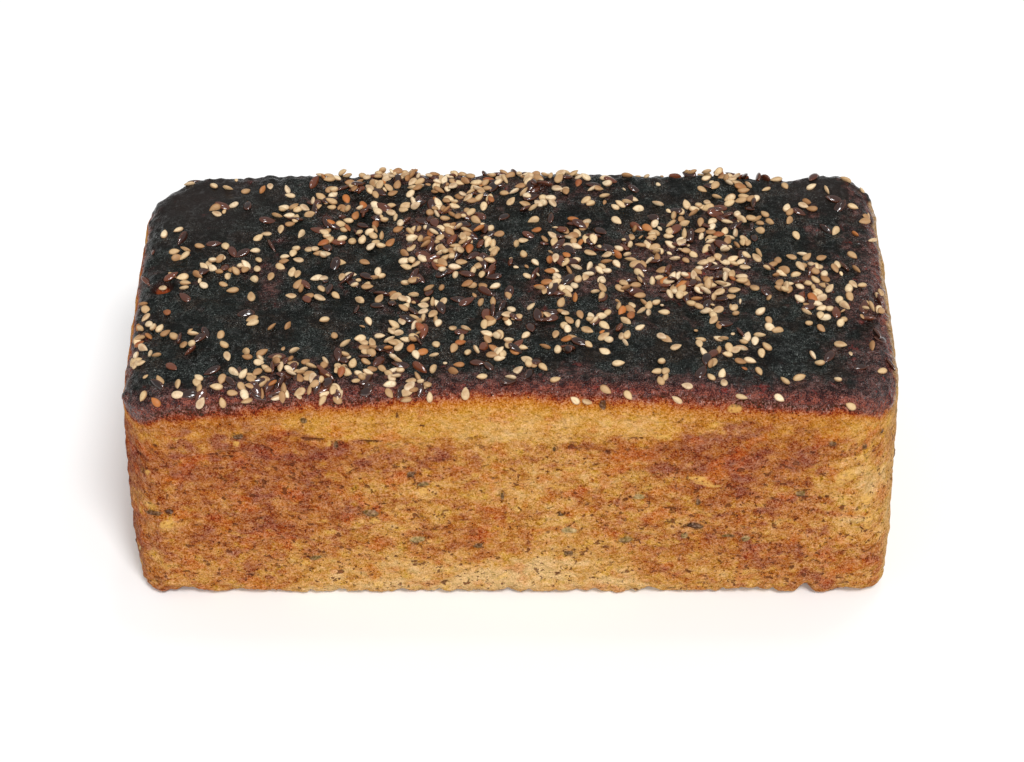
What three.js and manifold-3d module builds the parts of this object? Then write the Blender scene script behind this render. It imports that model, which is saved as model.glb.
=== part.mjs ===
// A rye bread loaf baked in a tin: one solid, with linseed and sesame seed fused to its dark top crust.
// Millimetres, +Z up. The origin is the middle of the underside, and the front side faces -Y.
import * as THREE from "three";
import { mergeVertices } from "three/addons/utils/BufferGeometryUtils.js";
import Module from "manifold-3d";

// The loaf, as the tin and the oven leave it.
const LENGTH = 200;
const WIDTH = 98;
const HEIGHT = 70.2;
// Radii of the upright corners, at the top and at the foot, where they are tighter.
const CORNERS = {
  frontLeft: { top: 14.4, foot: 8 },
  frontRight: { top: 18.4, foot: 6.5 },
  backLeft: { top: 18, foot: 9 },
  backRight: { top: 12, foot: 7 },
};
const CORNER_FULL = 0.9; // the corners reach their top radius at this share of the height
const EDGE_TOP = 7.5; // radius of the top edge, which is tighter along the front
const EDGE_TOP_FRONT = 5.5;
const FRONT_FROM = 0.2; // a corner starts to count as front here, from 0 sideways to 1 forwards
const FRONT_FULL = 0.95;
const EDGE_FOOT = 3;
const FOOT_TAPER = 0.009; // the foot is this share shorter and narrower than the top
const BELLY = 0.75; // the sides stand out by this at half height
const END_DROP = 3; // the top sinks by this towards its ends

// Swells of the skin, as waves: a share of the full swell, a length each way and a phase.
const TOP_SWELL = 0.75;
const TOP_WAVES = [
  { share: 0.4, along: 15.3, across: 23, phase: 0.8 },
  { share: 0.3, along: 21, across: -11.7, phase: 2.1 },
  { share: 0.2, along: 8.3, across: 9.7, phase: 0.3 },
  { share: 0.15, along: -5.9, across: 7.1, phase: 4 },
];
const SIDE_SWELL = 0.55;
const SIDE_WAVES = [
  { share: 0.5, along: 13.7, across: 17, phase: 1.1 },
  { share: 0.3, along: 6.7, across: 8.3, phase: 0.4 },
  { share: 0.2, along: 4.3, across: -5.1, phase: 2.6 },
];
const SIDE_SHIFT = 37; // starts the waves of each side elsewhere, so that no two sides match

// Single humps and dips of the top crust.
const HUMPS = [
  { x: 90, y: 42, reach: 11, rise: 2.2 },
  { x: 74, y: 44, reach: 6, rise: -1 },
  { x: 4, y: 44, reach: 12, rise: 1 },
  { x: -72, y: 44, reach: 24, rise: 1 },
  { x: 24, y: 44, reach: 22, rise: 1 },
  { x: 54, y: 44, reach: 10, rise: 0.6 },
];

// The ragged foot: waves that lift its edge at the back and the ends, and bites out of the front edge.
const FOOT_REACH = 9; // the lift fades out over this distance from the edge
const FOOT_LIFT = 1.7;
const NOTCH_FROM = 0.15; // the waves lift the edge above this height, and fully at the next
const NOTCH_FULL = 0.95;
const FOOT_WAVES = [
  { share: 0.6, along: 6.1, across: Infinity, phase: 0.7 },
  { share: 0.4, along: 15.1, across: Infinity, phase: 0 },
];
const BITES = [
  { x: -86, reach: 4, lift: 1.9 },
  { x: -72, reach: 5, lift: 0.8 },
  { x: -30, reach: 1.8, lift: 1.2 },
  { x: 0, reach: 2.5, lift: 0.8 },
  { x: 16, reach: 3, lift: 0.8 },
  { x: 36.5, reach: 2.5, lift: 1.5 },
  { x: 52, reach: 2, lift: 1.1 },
  { x: 62, reach: 5, lift: 1.6 },
  { x: 78, reach: 1.8, lift: 2.9 },
  { x: 89, reach: 5, lift: 1.4 },
];

// An open blister in the left shoulder of the crust.
const BLISTER = { x: -92.5, y: -2, length: 7, width: 6.5, depth: 5 };

// Seeds: real sizes, how many are fused on, and where their random draw starts.
const LINSEED = { length: 4.6, width: 2.4, thickness: 1.2, count: 70, draw: 11 };
const SESAME = { length: 3.2, width: 2.0, thickness: 1.1, count: 150, draw: 23 };
const SEED_RISE = 0.22; // a seed's middle stands above the crust by this share of its thickness
const SEED_GAP = 2.1; // least distance between two seeds of a kind
const SEED_SIZE_SPREAD = 0.12;
const SEED_TILT = 0.22; // radians
const SLOPE_STEP = 0.5; // half the distance over which the slope under a seed is taken
const OVERHANG = 3; // the lowest seeds lie this far down the front side

// Where the seeds drifted: middle, half widths and weight of each drift, over a thin even scatter.
const EVEN_SCATTER = 0.04;
const DRIFTS = [
  { x: -28, y: 45, reachX: 14, reachY: 6, weight: 1 },
  { x: 3, y: 43, reachX: 15, reachY: 6, weight: 0.75 },
  { x: 57, y: 46, reachX: 14, reachY: 5, weight: 0.5 },
  { x: -66, y: 33, reachX: 10, reachY: 6, weight: 0.12 },
  { x: -45, y: 31, reachX: 12, reachY: 11, weight: 0.45 },
  { x: -15, y: 34, reachX: 11, reachY: 7, weight: 0.55 },
  { x: 5, y: 35, reachX: 9, reachY: 6, weight: 0.3 },
  { x: 28, y: 33, reachX: 6, reachY: 7, weight: 0.32 },
  { x: 60, y: 34, reachX: 6, reachY: 7, weight: 0.35 },
  { x: 78, y: 33, reachX: 5, reachY: 5, weight: 0.25 },
  { x: -19, y: 18, reachX: 12, reachY: 8, weight: 0.75 },
  { x: 54, y: 25, reachX: 13, reachY: 7, weight: 0.6 },
  { x: -54, y: 15, reachX: 14, reachY: 7, weight: 0.25 },
  { x: 15, y: 14, reachX: 7, reachY: 9, weight: 0.4 },
  { x: 39, y: 12, reachX: 17, reachY: 9, weight: 0.62 },
  { x: -75, y: 5, reachX: 12, reachY: 7, weight: 0.5 },
  { x: -13, y: 6, reachX: 12, reachY: 6, weight: 0.6 },
  { x: 58, y: 6, reachX: 8, reachY: 7, weight: 0.5 },
  { x: 80, y: 2, reachX: 6, reachY: 9, weight: 0.75 },
  { x: -84, y: -2, reachX: 6, reachY: 4, weight: 0.4 },
  { x: -46, y: -5, reachX: 12, reachY: 6, weight: 0.35 },
  { x: 15, y: -4, reachX: 11, reachY: 6, weight: 0.7 },
  { x: 46, y: -3, reachX: 11, reachY: 5, weight: 1 },
  { x: 75, y: -6, reachX: 6, reachY: 5, weight: 0.6 },
  { x: 92, y: -6, reachX: 7, reachY: 7, weight: 0.45 },
  { x: -26, y: -14, reachX: 10, reachY: 8, weight: 0.6 },
  { x: 0, y: -12, reachX: 10, reachY: 10, weight: 0.4 },
  { x: 54, y: -11, reachX: 6, reachY: 5, weight: 0.6 },
  { x: 31, y: -17, reachX: 10, reachY: 9, weight: 0.4 },
  { x: 83, y: -14, reachX: 8, reachY: 6, weight: 0.25 },
  { x: -97, y: -24, reachX: 4, reachY: 14, weight: 0.7 },
  { x: -85, y: -23, reachX: 8, reachY: 5, weight: 0.3 },
  { x: -28, y: -27, reachX: 7, reachY: 7, weight: 0.5 },
  { x: 20, y: -23, reachX: 12, reachY: 7, weight: 0.4 },
  { x: 59, y: -26, reachX: 7, reachY: 6, weight: 0.35 },
  { x: -58, y: -41, reachX: 13, reachY: 9, weight: 0.85 },
  { x: -38, y: -34, reachX: 8, reachY: 8, weight: 0.4 },
  { x: -28, y: -44, reachX: 9, reachY: 5, weight: 0.45 },
  { x: 53, y: -36, reachX: 7, reachY: 9, weight: 0.3 },
  { x: -84, y: -46, reachX: 10, reachY: 4, weight: 0.3 },
  { x: -4, y: -30, reachX: 12, reachY: 9, weight: 0.25 },
];

// The grid that the bare loaf is made on: steps along its length, width and height.
const STEPS = { length: 28, width: 14, height: 8 };
const CROWDING = 0.45; // how much closer the steps lie near the edges
const WELD = 1e-4; // points nearer than this are one point
const HALF_LENGTH = LENGTH / 2;
const HALF_WIDTH = WIDTH / 2;
const UP = new THREE.Vector3(0, 0, 1);

const wasm = await Module();
wasm.setup();

const { lerp, smoothstep } = THREE.MathUtils;

function swell(waves, along, across) {
  return waves.reduce(
    (sum, wave) => sum + wave.share * Math.sin(along / wave.along + across / wave.across + wave.phase),
    0,
  );
}

const bell = (away, reach) => Math.exp(-((away / reach) ** 2));

function cornerRadius(x, y, z) {
  const left = y < 0 ? CORNERS.frontLeft : CORNERS.backLeft;
  const right = y < 0 ? CORNERS.frontRight : CORNERS.backRight;
  const { top, foot } = x < 0 ? left : right;
  return lerp(foot, top, smoothstep(z, 0, HEIGHT * CORNER_FULL));
}

// Turns the square corner of a profile into a quarter circle: across and up run from 0 to the radius.
function roundCorner(across, up) {
  const share = Math.max(across, up) / Math.hypot(across, up);
  return [across * share, up * share];
}

// Rounds the upright corners. Gives the point, its way out, and its distance from the outline.
function roundInPlan(x, y, z) {
  const radius = cornerRadius(x, y, z);
  const acrossX = Math.abs(x) - (HALF_LENGTH - radius);
  const acrossY = Math.abs(y) - (HALF_WIDTH - radius);
  if (acrossX > 0 && acrossY > 0) {
    const [outX, outY] = roundCorner(acrossX, acrossY);
    const reach = Math.hypot(outX, outY);
    return {
      x: Math.sign(x) * (HALF_LENGTH - radius + outX),
      y: Math.sign(y) * (HALF_WIDTH - radius + outY),
      outX: (Math.sign(x) * outX) / reach,
      outY: (Math.sign(y) * outY) / reach,
      inset: radius - reach,
    };
  }
  const nearEnd = HALF_LENGTH - Math.abs(x) < HALF_WIDTH - Math.abs(y);
  return {
    x,
    y,
    outX: nearEnd ? Math.sign(x) : 0,
    outY: nearEnd ? 0 : Math.sign(y),
    inset: Math.min(HALF_LENGTH - Math.abs(x), HALF_WIDTH - Math.abs(y)),
  };
}

// Rounds a top or foot edge: lift is how far the point stands into that edge's radius.
function roundEdge(plan, lift, radius) {
  const across = radius - plan.inset;
  if (across <= 0 || lift <= 0) return { inset: plan.inset, lift };
  const [newAcross, newLift] = roundCorner(across, lift);
  return { inset: radius - newAcross, lift: newLift };
}

// How far the top crust lies above or below the plain block's top.
function topRise(x, y) {
  const humps = HUMPS.reduce((sum, hump) => {
    return sum + hump.rise * bell(x - hump.x, hump.reach) * bell(y - hump.y, hump.reach);
  }, 0);
  return TOP_SWELL * swell(TOP_WAVES, x, y) + humps - END_DROP * Math.abs(x / HALF_LENGTH) ** 3;
}

// How far the foot edge is lifted, from a smooth edge at 0 to its deepest notches.
function footRise(x, along, frontness) {
  const waves = FOOT_LIFT * smoothstep(swell(FOOT_WAVES, along, 0), NOTCH_FROM, NOTCH_FULL);
  const bites = BITES.reduce((sum, bite) => sum + bite.lift * bell(x - bite.x, bite.reach), 0);
  return lerp(waves, bites, frontness);
}

// The bare loaf's skin: carries a point of the plain block (x, y, z) to where it lies on the loaf.
function onLoaf(x, y, z) {
  const plan = roundInPlan(x, y, z);
  const frontness = Math.max(0, -plan.outY);
  const topRadius = lerp(EDGE_TOP, EDGE_TOP_FRONT, smoothstep(frontness, FRONT_FROM, FRONT_FULL));
  const top = roundEdge(plan, z - (HEIGHT - topRadius), topRadius);
  const foot = roundEdge(plan, EDGE_FOOT - z, EDGE_FOOT);
  const inset = Math.max(top.inset, foot.inset);
  let up = z;
  if (top.inset !== plan.inset) up = HEIGHT - topRadius + top.lift;
  if (foot.inset !== plan.inset) up = EDGE_FOOT - foot.lift;

  const share = up / HEIGHT;
  const along =
    plan.x * Math.abs(plan.outY) + plan.y * Math.abs(plan.outX) + SIDE_SHIFT * (plan.outX + 2 * plan.outY);
  const onSide = Math.exp(-inset / EDGE_TOP) * Math.sin(Math.PI * share);
  const out = plan.inset - inset + onSide * (BELLY + SIDE_SWELL * swell(SIDE_WAVES, along, up));
  const taper = 1 - FOOT_TAPER * (1 - share);
  const px = (plan.x + plan.outX * out) * taper;
  const py = (plan.y + plan.outY * out) * taper;

  const atFoot = 1 - smoothstep(inset + up, 0, FOOT_REACH);
  const pz = up + share ** 2 * topRise(px, py) + atFoot * footRise(px, along, frontness);
  return new THREE.Vector3(px, py, pz);
}

// The same skin reached from above. Past the front edge, y goes on down the front side.
function onTop(x, y) {
  const over = Math.max(0, -HALF_WIDTH - y);
  return onLoaf(x, y + over, HEIGHT - over);
}

// A joined solid of a closed geometry, with only its positions kept.
function solidOf(geometry) {
  const bare = geometry.clone();
  bare.deleteAttribute("normal");
  bare.deleteAttribute("uv");
  const merged = mergeVertices(bare, WELD);
  return new wasm.Manifold(
    new wasm.Mesh({
      numProp: 3,
      vertProperties: merged.attributes.position.array,
      triVerts: new Uint32Array(merged.index.array),
    }),
  );
}

function bareLoaf() {
  const block = new THREE.BoxGeometry(2, 2, 2, STEPS.length, STEPS.width, STEPS.height);
  const points = block.getAttribute("position");
  const crowd = (t) => t * (1 + CROWDING * (1 - Math.abs(t)));
  for (let i = 0; i < points.count; i++) {
    const x = crowd(points.getX(i)) * HALF_LENGTH;
    const y = crowd(points.getY(i)) * HALF_WIDTH;
    const z = ((crowd(points.getZ(i)) + 1) / 2) * HEIGHT;
    points.setXYZ(i, ...onLoaf(x, y, z));
  }
  return solidOf(block);
}

// An even draw between 0 and 1, the same each time (the mulberry32 rule).
function drawFrom(seed) {
  let state = seed;
  return () => {
    state = (state + 0x6d2b79f5) | 0;
    let mixed = Math.imul(state ^ (state >>> 15), 1 | state);
    mixed = (mixed + Math.imul(mixed ^ (mixed >>> 7), 61 | mixed)) ^ mixed;
    return ((mixed ^ (mixed >>> 14)) >>> 0) / 2 ** 32;
  };
}

function seedDensity(x, y) {
  return DRIFTS.reduce((sum, drift) => {
    return sum + drift.weight * bell(x - drift.x, drift.reachX) * bell(y - drift.y, drift.reachY);
  }, EVEN_SCATTER);
}

// Draws where the seeds of a kind lie, and how each is turned, tilted and sized.
function scatter(kind) {
  const draw = drawFrom(kind.draw);
  const lying = [];
  while (lying.length < kind.count) {
    const x = (2 * draw() - 1) * HALF_LENGTH;
    const y = (2 * draw() - 1) * (HALF_WIDTH + OVERHANG / 2) - OVERHANG / 2;
    const kept = draw() < seedDensity(x, y);
    const seed = { x, y, turn: draw() * Math.PI * 2, tilt: 2 * draw() - 1, size: 2 * draw() - 1 };
    if (kept && lying.every((other) => Math.hypot(other.x - x, other.y - y) > SEED_GAP)) lying.push(seed);
  }
  return lying;
}

// The way straight out of the crust at a point of its top.
function wayOut(x, y) {
  const alongX = onTop(x + SLOPE_STEP, y).sub(onTop(x - SLOPE_STEP, y));
  const alongY = onTop(x, y + SLOPE_STEP).sub(onTop(x, y - SLOPE_STEP));
  return alongX.cross(alongY).normalize();
}

// One seed, as a faceted almond lying on the crust.
function seedSolid(kind, seed) {
  const out = wayOut(seed.x, seed.y);
  const middle = onTop(seed.x, seed.y).addScaledVector(out, kind.thickness * SEED_RISE);
  const turned = new THREE.Quaternion()
    .setFromUnitVectors(UP, out)
    .multiply(new THREE.Quaternion().setFromAxisAngle(UP, seed.turn))
    .multiply(new THREE.Quaternion().setFromAxisAngle(new THREE.Vector3(0, 1, 0), seed.tilt * SEED_TILT));
  const half = (1 + seed.size * SEED_SIZE_SPREAD) / 2;
  const halves = new THREE.Vector3(kind.length, kind.width, kind.thickness).multiplyScalar(half);
  const almond = new THREE.IcosahedronGeometry(1, 0);
  almond.applyMatrix4(new THREE.Matrix4().compose(middle, turned, halves));
  return solidOf(almond);
}

function blisterSolid() {
  const hollow = new THREE.IcosahedronGeometry(1, 1);
  hollow.scale(BLISTER.length / 2, BLISTER.width / 2, BLISTER.depth / 2);
  hollow.translate(...onTop(BLISTER.x, BLISTER.y));
  return solidOf(hollow);
}

// Joins the seeds to the loaf and keeps the outer skin, without scraps or sealed gaps.
function wholeLoaf() {
  const seeds = [LINSEED, SESAME].flatMap((kind) => scatter(kind).map((seed) => seedSolid(kind, seed)));
  const joined = wasm.Manifold.union([bareLoaf().subtract(blisterSolid()), ...seeds]);
  return joined.decompose().reduce((largest, body) => (body.volume() > largest.volume() ? body : largest));
}

function geometryOf(solid) {
  const mesh = solid.getMesh();
  const geometry = new THREE.BufferGeometry();
  geometry.setAttribute("position", new THREE.BufferAttribute(mesh.vertProperties, mesh.numProp));
  geometry.setIndex(new THREE.BufferAttribute(mesh.triVerts, 1));
  geometry.computeVertexNormals();
  return geometry;
}

// Stands the loaf on z = 0 with the origin under its middle.
function centred(geometry) {
  geometry.computeBoundingBox();
  const { min, max } = geometry.boundingBox;
  return geometry.translate(-(min.x + max.x) / 2, -(min.y + max.y) / 2, -min.z);
}

const crust = new THREE.MeshStandardMaterial({ color: 0xb5793f, roughness: 0.75, metalness: 0 });
const loaf = new THREE.Mesh(centred(geometryOf(wholeLoaf())), crust);
loaf.name = "loaf";

const bread = new THREE.Group();
bread.add(loaf);

export default bread;
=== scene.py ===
"""Looks of a rye bread loaf: a charred crust strewn with sesame and linseed, over mottled tan sides.

Shapes are worked out in millimetres, in the frame of the CAD part, and become metres in their meshes.
"""
import itertools
import math

import bpy
import numpy as np
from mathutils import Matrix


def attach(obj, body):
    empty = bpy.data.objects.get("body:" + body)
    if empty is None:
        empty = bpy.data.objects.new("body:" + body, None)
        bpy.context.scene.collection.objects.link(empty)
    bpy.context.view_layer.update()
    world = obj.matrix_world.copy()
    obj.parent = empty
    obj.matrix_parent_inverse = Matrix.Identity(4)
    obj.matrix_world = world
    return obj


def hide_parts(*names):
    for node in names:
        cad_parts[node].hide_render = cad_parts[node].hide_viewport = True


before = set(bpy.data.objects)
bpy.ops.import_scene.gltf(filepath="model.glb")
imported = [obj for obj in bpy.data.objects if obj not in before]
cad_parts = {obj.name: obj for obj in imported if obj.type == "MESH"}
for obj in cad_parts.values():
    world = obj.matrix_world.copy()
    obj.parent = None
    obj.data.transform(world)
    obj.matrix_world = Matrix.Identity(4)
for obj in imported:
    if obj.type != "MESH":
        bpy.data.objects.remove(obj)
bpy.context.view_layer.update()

MM = 0.001

# ---- the loaf's sizes, as in the CAD part
LENGTH = 200.0
WIDTH = 98.0
HEIGHT = 70.2
HALF_LENGTH = LENGTH / 2
HALF_WIDTH = WIDTH / 2
CORNER_FRONT_LEFT = (14.4, 8.0)  # radii at the top and at the foot
CORNER_FRONT_RIGHT = (18.4, 6.5)
CORNER_BACK_LEFT = (18.0, 9.0)
CORNER_BACK_RIGHT = (12.0, 7.0)
CORNER_FULL = 0.9  # the corners reach their top radius at this share of the height
EDGE_TOP = 7.5  # radius of the top edge, and of that edge at the front
EDGE_TOP_FRONT = 5.5
FRONT_FROM, FRONT_FULL = 0.2, 0.95  # how much a side faces the front where that radius starts and is full
EDGE_FOOT = 3.0
FOOT_TAPER = 0.009  # the foot is narrower by this share
BELLY = 0.75
END_DROP = 3.0  # the top is this much lower at the ends
TOP_SWELL = 0.75
SIDE_SWELL = 0.55
SIDE_SHIFT = 37.0  # keeps the waves of one side from being those of the next
FOOT_REACH = 9.0  # how far from the foot edge its bites and waves are felt
FOOT_LIFT = 1.7
NOTCH_FROM, NOTCH_FULL = 0.15, 0.95

# Waves: share of the swell, length along, length across, phase.
TOP_WAVES = ((0.4, 15.3, 23.0, 0.8), (0.3, 21.0, -11.7, 2.1), (0.2, 8.3, 9.7, 0.3), (0.15, -5.9, 7.1, 4.0))
SIDE_WAVES = ((0.5, 13.7, 17.0, 1.1), (0.3, 6.7, 8.3, 0.4), (0.2, 4.3, -5.1, 2.6))
FOOT_WAVES = ((0.6, 6.1, math.inf, 0.7), (0.4, 15.1, math.inf, 0.0))
HUMPS = (  # x, y, reach, rise
    (90, 42, 11, 2.2), (74, 44, 6, -1), (4, 44, 12, 1),
    (-72, 44, 24, 1), (24, 44, 22, 1), (54, 44, 10, 0.6),
)
BITES = (  # x, reach, lift
    (-86, 4, 1.9), (-72, 5, 0.8), (-30, 1.8, 1.2), (0, 2.5, 0.8), (16, 3, 0.8),
    (36.5, 2.5, 1.5), (52, 2, 1.1), (62, 5, 1.6), (78, 1.8, 2.9), (89, 5, 1.4),
)

# ---- the mesh of the loaf
GRID = (240, 118, 86)  # steps along the length, width and height: about 0.83 mm each
UNDERSIDE_INSET = 7.0  # the underside is thinned out this far in from its edge
TRIANGLES = 190_000  # about what the thinned mesh has

# ---- seeds
SESAME = {
    "length": 3.2, "width": 2.0, "thickness": 1.1, "fused": 150, "count": 1100, "draw": 23,
    "around": 12, "rings": 7,
}
LINSEED = {
    "length": 4.6, "width": 2.4, "thickness": 1.2, "fused": 70, "count": 340, "draw": 11,
    "around": 14, "rings": 9,
}
BLUNT_END, SHARP_END = 0.55, 0.8  # powers that shape the two ends of a seed
SEED_RISE = 0.22  # a seed's middle stands this share of its thickness above the crust
SEED_GAP = 2.1  # between the seeds that the CAD part has too
PILE_GAP = 1.0  # between the others, which may lie on each other
MOST_BENEATH = 2
SEED_SIZE_SPREAD = 0.12
SEED_TILT = 0.22  # radians, for the seeds that the CAD part has too
LOOSE_TILT = 0.4  # the tilt of the others
PILE_TILT = 0.5  # and this share more of it for each seed underneath
LOOSE_ROLL = 1.2  # few of them roll this far on their side, most hardly at all
PILE_STEP = 0.48  # a seed on another is lifted by this share of its thickness
PILE_REACH = 0.5  # how near seeds have to be to lie on each other, as a share of their length
BIT_BELOW = -0.86  # a draw of size below this is a broken bit
BIT_SIZE = -4.0
TONE_DRAW = 1000  # added to a kind's draw for the colours of its seeds
SLOPE_STEP = 0.5  # how far to each side the slope under a seed is measured
OVERHANG = 3.0  # seeds lie this far down the front side too
EVEN_SCATTER = 0.04  # how likely a seed is kept outside the drifts
DRIFTS = (  # x, y, reach along x, along y, weight
    (-28, 45, 14, 6, 1), (3, 43, 15, 6, 0.75), (57, 46, 14, 5, 0.5), (-66, 33, 10, 6, 0.12),
    (-45, 31, 12, 11, 0.45), (-15, 34, 11, 7, 0.55), (5, 35, 9, 6, 0.3), (28, 33, 6, 7, 0.32),
    (60, 34, 6, 7, 0.35), (78, 33, 5, 5, 0.25), (-19, 18, 12, 8, 0.75), (54, 25, 13, 7, 0.6),
    (-54, 15, 14, 7, 0.25), (15, 14, 7, 9, 0.4), (39, 12, 17, 9, 0.62), (-75, 5, 12, 7, 0.5),
    (-13, 6, 12, 6, 0.6), (58, 6, 8, 7, 0.5), (80, 2, 6, 9, 0.75), (-84, -2, 6, 4, 0.4),
    (-46, -5, 12, 6, 0.35), (15, -4, 11, 6, 0.7), (46, -3, 11, 5, 1), (75, -6, 6, 5, 0.6),
    (92, -6, 7, 7, 0.45), (-26, -14, 10, 8, 0.6), (0, -12, 10, 10, 0.4), (54, -11, 6, 5, 0.6),
    (31, -17, 10, 9, 0.4), (83, -14, 8, 6, 0.25), (-97, -24, 4, 14, 0.7), (-85, -23, 8, 5, 0.3),
    (-28, -27, 7, 7, 0.5), (20, -23, 12, 7, 0.4), (59, -26, 7, 6, 0.35), (-58, -41, 13, 9, 0.85),
    (-38, -34, 8, 8, 0.4), (-28, -44, 9, 5, 0.45), (53, -36, 7, 9, 0.3), (-84, -46, 10, 4, 0.3),
    (-4, -30, 12, 9, 0.25),
)

BLISTER = {"x": -92.5, "y": -2.0, "length": 7.0, "width": 6.5, "depth": 2.5, "lip": 0.35}
BLISTER_BARE = 0.62  # no loose seed lies nearer its middle than this share of its size

# ---- the finish of the crust and the sides
CRUST_LINE_FRONT = 2.7  # the dark crust ends this far round the top edge
CRUST_LINE_END = 3.5  # and this far on the ends
CORNER_SAG = 4.6  # and lower at the upright corners
END_SHARPNESS = 1.5  # how much more sharply the crust ends on the loaf's ends, as a share
CORNER_BAKE = 0.06  # the upright corners are baked darker
LEFT_END_BAKE, RIGHT_END_BAKE = 0.12, -0.18  # the left end is baked darker than the front, the right paler
MIDDLE_BAKE = 0.47
BAKE_MOTTLE = ((0.3, (22, 22, 13), 61), (0.22, (7, 7, 3.6), 67))  # how much, size of the features, seed
BAKE_BANDS = ((9, 4.5, -0.24), (20, 7, 0.2))  # millimetres down the side, reach, how much darker
FOOT_PALING = ((50, 66, 0.12), (62, 69, 0.15))  # from and to how far down, how much paler
# Where the crust ends lower (or higher) than that line on the front: x, reach, how much.
FRONT_SAGS = ((-96, 18, 2.4), (0, 33, -3), (97, 6, 1.5))

# Where the crust is glazed and purple-brown instead of charred: x, y, reach along x, along y, how much.
GLAZED = (
    (93, -38, 9, 15, 0.9), (97, 5, 8, 44, 0.75), (45, -1, 26, 10, 0.55),
    (81, 25, 3, 9, 0.7), (-64, -3, 5, 9, 0.6), (-26, 18, 7, 10, 0.45),
    (16, 34, 9, 7, 0.5), (8, -46, 60, 4, 0.5), (-99, -10, 5, 40, 0.1),
)
# Where the crust has neither painted glints nor roughness: x, y, reaches, how much.
SMOOTH_CORNERS = ((-86, 36, 20, 18, 1), (86, 40, 15, 11, 0.9))

# Patches of the front side: x, height, reaches, and how much darker (or paler) they are baked. The two at
# height 2 near the ends are painted shade along the foot edge.
FRONT_BAKE_AND_FOOT_SHADE = (
    (-86, 62, 18, 6, 0.58), (-67, 63, 9, 5, 0.4), (-84, 51, 14, 6, -0.22), (-45, 66, 20, 4, 0.10),
    (5, 60, 34, 10, -0.17), (45, 60, 5, 5, 0.25), (66, 64, 28, 5.5, 0.38), (82, 58, 9, 5, 0.22),
    (-56, 53, 22, 7, 0.1), (-26, 52, 7, 5, -0.22), (4, 49, 26, 8, -0.16), (62, 53, 18, 6, 0.15),
    (91, 44, 11, 24, -0.36), (-36, 44, 10, 10, -0.16), (-68, 28, 28, 14, 0.13), (-34, 24, 11, 7, -0.18),
    (2, 32, 32, 14, -0.12), (68, 32, 18, 12, 0.12), (2, 7, 38, 8, -0.38), (36, 10, 6, 6, 0.15),
    # (-90, 2, ...) and (80, 2, ...) here are painted shade at the ends of the foot edge
    (-40, 8, 14, 9, -0.12), (-90, 2, 16, 5, 0.3), (68, 9, 22, 7, 0.16), (80, 2, 18, 4, 0.22),
    (76, 16, 6, 5, -0.14),
)

# Grains baked into the front side: x, height, half length, half height, slope, paleness.
FRONT_GRAINS = (
    (-94, 30.5, 3.2, 1.1, 0.15, 0.3), (-89.6, 31.4, 1.4, 1.2, -0.4, 0),
    (-69.8, 57.6, 1.6, 1.3, 0.2, 0.15), (-53, 62.5, 1.2, 1.2, 0, 0.35),
    (-52, 14.5, 2.2, 0.8, 0.2, 0.55), (-45, 54.6, 0.9, 1.3, 0, 0.35), (-37, 31.2, 2.6, 1.4, -0.1, 0.4),
    (-26, 44.6, 1.3, 1, 0.2, 0.1), (-25, 21.5, 2.4, 1.2, 0.1, 0.7), (-23, 41, 1.9, 0.9, 0.1, 0.6),
    (-9, 19, 1.5, 1, 0.2, 0.3), (-2.5, 36.5, 0.8, 1.6, 0, 0.3), (11, 52.6, 0.6, 1, 0, 0.1),
    (13, 30.4, 1.2, 0.6, 0, 0.1), (15, 24.3, 2.6, 1.3, 0, 0.75), (15, 16, 1.4, 1.1, 0, 0.2),
    (23, 67, 0.9, 1.4, 0, 0.1), (30, 21, 2.2, 1.3, 0.1, 0.5), (33, 36.2, 1.7, 1.1, 0.1, 0.7),
    (45.5, 22.5, 1.2, 1.2, 0, 0.6), (48, 26.2, 2.8, 1.2, -0.1, 0.15), (48.5, 35, 0.8, 1.4, 0, 0.3),
    (57, 23, 2.2, 0.8, 0, 0.4), (61.6, 22, 1.3, 1.2, 0, 0.6), (75, 38, 1.6, 0.8, 0, 0.5),
    (82, 56, 1.3, 1.1, 0.2, 0.3), (91.5, 53.5, 1, 1.2, 0, 0.35),
)
GRAINS_ELSEWHERE = 44
GRAIN_DRAW = 41
GRAIN_MARGINS = (4, 10)  # no other grain's middle is nearer the foot or the top than this

# Pale husks and flakes in the front side: x, height, half length, half height, and slope unless level.
FRONT_HUSKS = (
    (-95, 44.5, 1.2, 0.9, 0.3), (-90.5, 27, 2.2, 1.8), (-70.5, 55, 1.2, 0.9), (-47, 55, 1.2, 0.8, 0.3),
    (-36, 28.2, 1.8, 1.2), (-23, 38.6, 1.5, 1.4), (15, 46, 2.2, 0.8, 0.15), (28.5, 64.6, 1, 0.6, -0.2),
    (38, 61.4, 0.9, 0.8, -0.2), (38, 57, 2.6, 0.8, 0.1), (48, 43, 4, 0.7, -0.1),
    (51, 41.2, 4.5, 0.6, -0.1), (56.5, 66, 2.3, 1.4, 0.1), (86, 44, 3.2, 3, 0.3), (93, 35, 2.4, 2.2),
    (94, 27, 2.2, 3.2),
)
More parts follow.
